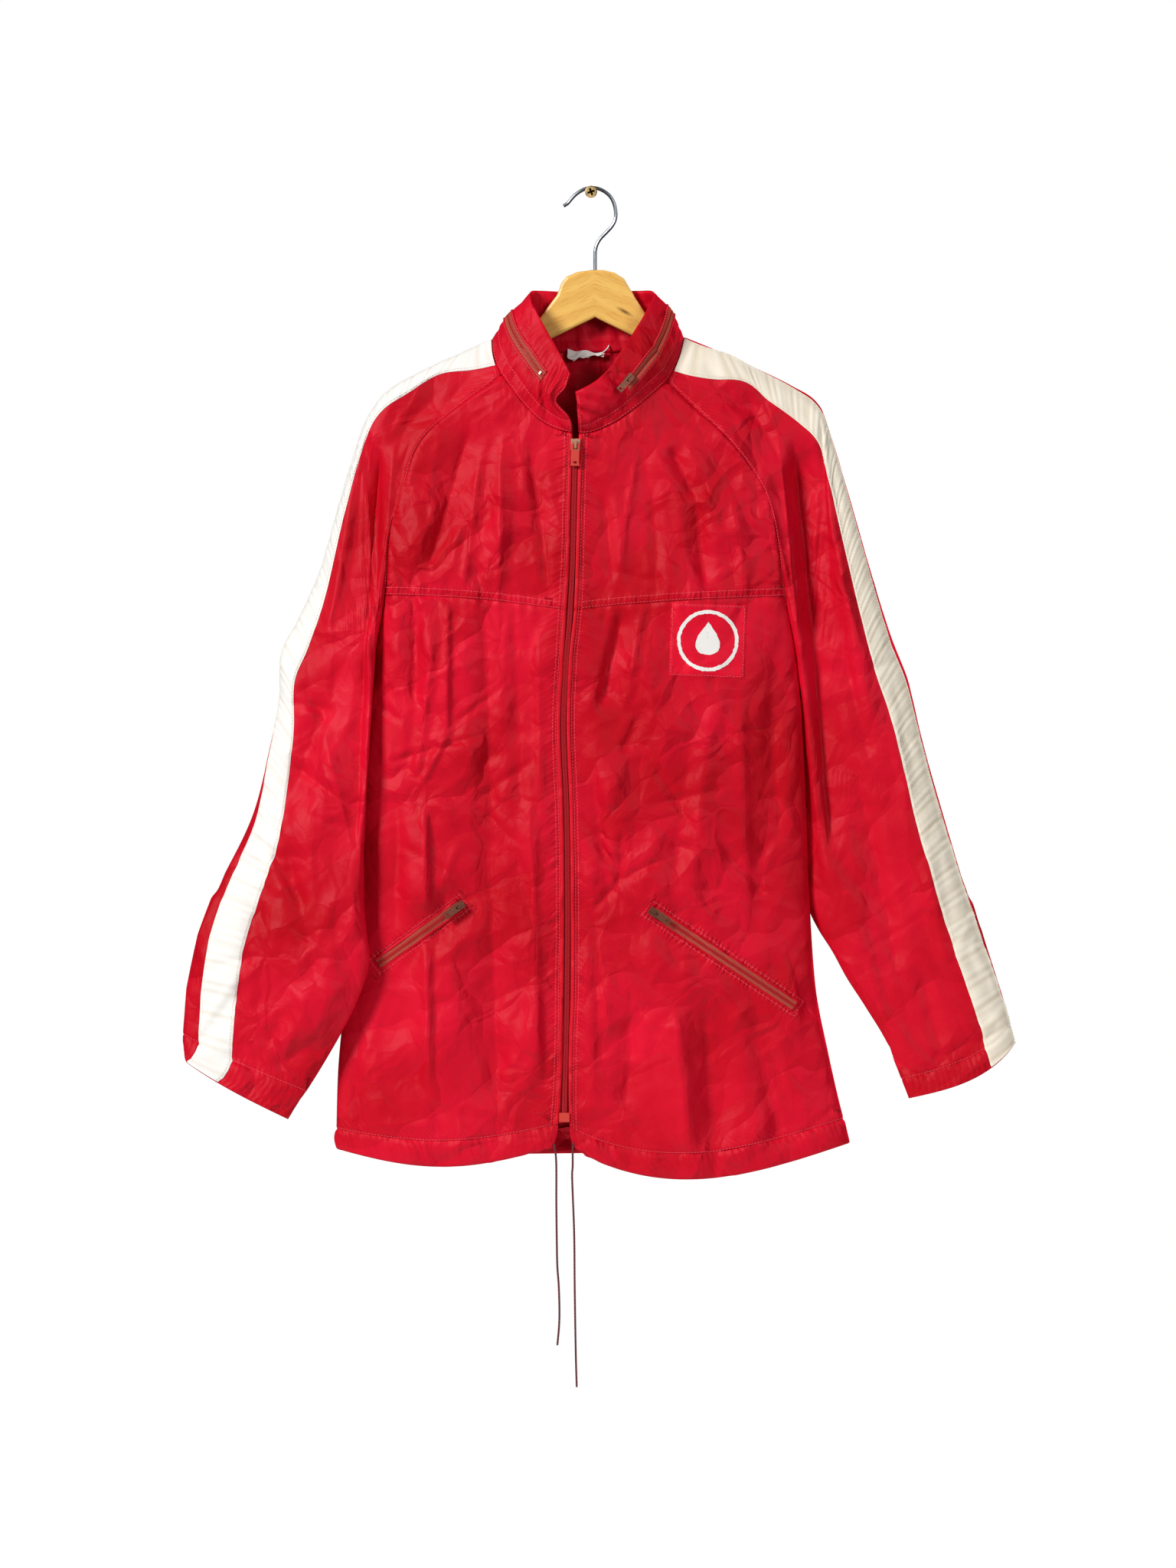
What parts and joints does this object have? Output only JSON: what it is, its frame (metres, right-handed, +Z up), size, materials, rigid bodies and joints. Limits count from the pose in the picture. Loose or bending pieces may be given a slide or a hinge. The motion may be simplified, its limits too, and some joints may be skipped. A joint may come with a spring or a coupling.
{
  "type": "rain jacket on a hanger",
  "caption": "Zipped nylon rain jacket with raglan sleeves and a stand collar, hung on a wooden hanger from a wall screw.",
  "frame": {"origin": "on the wall screw's axis, at the wall's face", "axes": "+Z up, -Y out of the wall towards the viewer, +X towards the wearer's left"},
  "size_m": [0.8166, 0.0857, 1.1771],
  "materials": {
    "nylon_red": "thin woven nylon, soft shine, crinkled",
    "tape_white": "matte woven tape",
    "zip_tape_rust": "matte woven tape with a coil or teeth",
    "zip_metal": "worn coppery plating",
    "label_white": "satin",
    "maple_wood": "clear varnish",
    "chrome_wire": "polished",
    "brass_screw": "yellow plating",
    "cord_maroon": "matte braid"
  },
  "bodies": {
    "jacket": {"arm_tape_left": "tape_white", "arm_tape_right": "tape_white", "back": "nylon_red", "chest_patch": "nylon_red", "collar": "nylon_red", "collar_zip": "zip_tape_rust", "collar_zip_slider": "zip_metal", "cuff_left": "nylon_red", "cuff_right": "nylon_red", "cuff_zip_left": "zip_tape_rust", "cuff_zip_left_slider": "zip_metal", "cuff_zip_right": "zip_tape_rust", "cuff_zip_right_slider": "zip_metal", "drawcord_left": "cord_maroon", "drawcord_right": "cord_maroon", "front_lower_left": "nylon_red", "front_lower_right": "nylon_red", "front_yoke_left": "nylon_red", "front_yoke_right": "nylon_red", "hanger_body": "maple_wood", "hanger_hook": "chrome_wire", "hem_casing": "nylon_red", "main_zip_slider": "zip_metal", "neck_label": "label_white", "pocket_zip_left": "zip_tape_rust", "pocket_zip_left_slider": "zip_metal", "pocket_zip_right": "zip_tape_rust", "pocket_zip_right_slider": "zip_metal", "sleeve_left": "nylon_red", "sleeve_right": "nylon_red", "wall_screw": "brass_screw", "zip_box": "zip_metal", "zip_chain": "zip_tape_rust", "zip_tape_left": "zip_tape_rust", "zip_tape_right": "zip_tape_rust"},
    "collar_zip_pull": {"collar_zip_pull": "zip_metal"},
    "cuff_zip_left_pull": {"cuff_zip_left_pull": "zip_metal"},
    "cuff_zip_right_pull": {"cuff_zip_right_pull": "zip_metal"},
    "main_zip_pull": {"main_zip_pull": "zip_metal"},
    "pocket_zip_left_pull": {"pocket_zip_left_pull": "zip_metal"},
    "pocket_zip_right_pull": {"pocket_zip_right_pull": "zip_metal"}
  },
  "joints": [
    {"name": "collar_zip_pull_turn", "type": "hinge", "parent": "jacket", "child": "collar_zip_pull", "pos_m": [0.03812, -0.0766, -0.18473], "axis": [-0.6634, -0.2549, 0.7035], "range_deg": [0, 150]},
    {"name": "cuff_zip_left_pull_turn", "type": "hinge", "parent": "jacket", "child": "cuff_zip_left_pull", "pos_m": [0.39902, -0.02387, -0.82617], "axis": [0.9453, -0.2202, 0.2407], "range_deg": [0, 150]},
    {"name": "cuff_zip_right_pull_turn", "type": "hinge", "parent": "jacket", "child": "cuff_zip_right_pull", "pos_m": [-0.39099, -0.02928, -0.82739], "axis": [0.9892, 0.1311, -0.0653], "range_deg": [0, 150]},
    {"name": "main_zip_pull_turn", "type": "hinge", "parent": "jacket", "child": "main_zip_pull", "pos_m": [-0.01533, -0.0722, -0.24905], "axis": [-0.9996, 0, 0.0299], "range_deg": [0, 150]},
    {"name": "pocket_zip_left_pull_turn", "type": "hinge", "parent": "jacket", "child": "pocket_zip_left_pull", "pos_m": [0.06106, -0.07138, -0.70608], "axis": [-0.5546, -0.0052, -0.8321], "range_deg": [0, 150]},
    {"name": "pocket_zip_right_pull_turn", "type": "hinge", "parent": "jacket", "child": "pocket_zip_right_pull", "pos_m": [-0.128, -0.06864, -0.70008], "axis": [-0.5733, -0.0959, 0.8137], "range_deg": [0, 150]}
  ]
}
